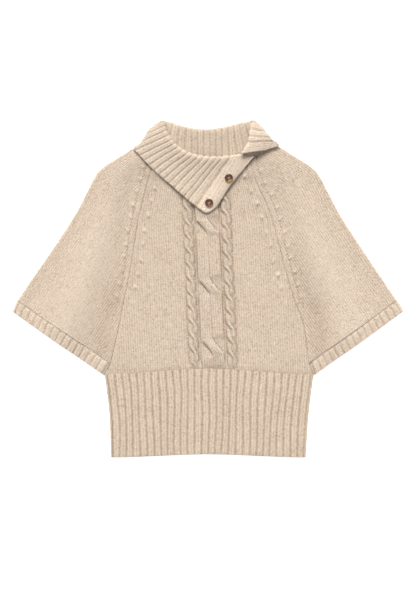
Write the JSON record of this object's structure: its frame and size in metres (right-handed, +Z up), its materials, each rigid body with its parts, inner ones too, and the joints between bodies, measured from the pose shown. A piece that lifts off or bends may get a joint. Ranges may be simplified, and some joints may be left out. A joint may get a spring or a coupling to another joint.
{
  "type": "cropped cable knit sweater",
  "caption": "Cropped raglan sweater laid flat, with a cable panel, wide ribbed waistband and cuffs, and a split turned-down collar with tortoise buttons.",
  "frame": {"origin": "centre of the bounding box, on the surface the garment lies on", "axes": "+X towards the viewer's right (the wearer's left), +Y from the hem to the neck, +Z up out of the front of the garment"},
  "size_m": [0.7016, 0.6061, 0.0249],
  "materials": {
    "oatmeal_yarn": "matte knitted wool blend, heathered oatmeal",
    "tortoise_horn": "polished tortoiseshell look"
  },
  "bodies": {
    "root": {"front_panel": "oatmeal_yarn", "back_panel": "oatmeal_yarn", "sleeve_right": "oatmeal_yarn", "sleeve_left": "oatmeal_yarn", "cuff_right": "oatmeal_yarn", "cuff_left": "oatmeal_yarn", "waistband": "oatmeal_yarn", "collar": "oatmeal_yarn", "button_upper": "tortoise_horn", "button_lower": "tortoise_horn", "button_inner": "tortoise_horn"}
  },
  "joints": []
}
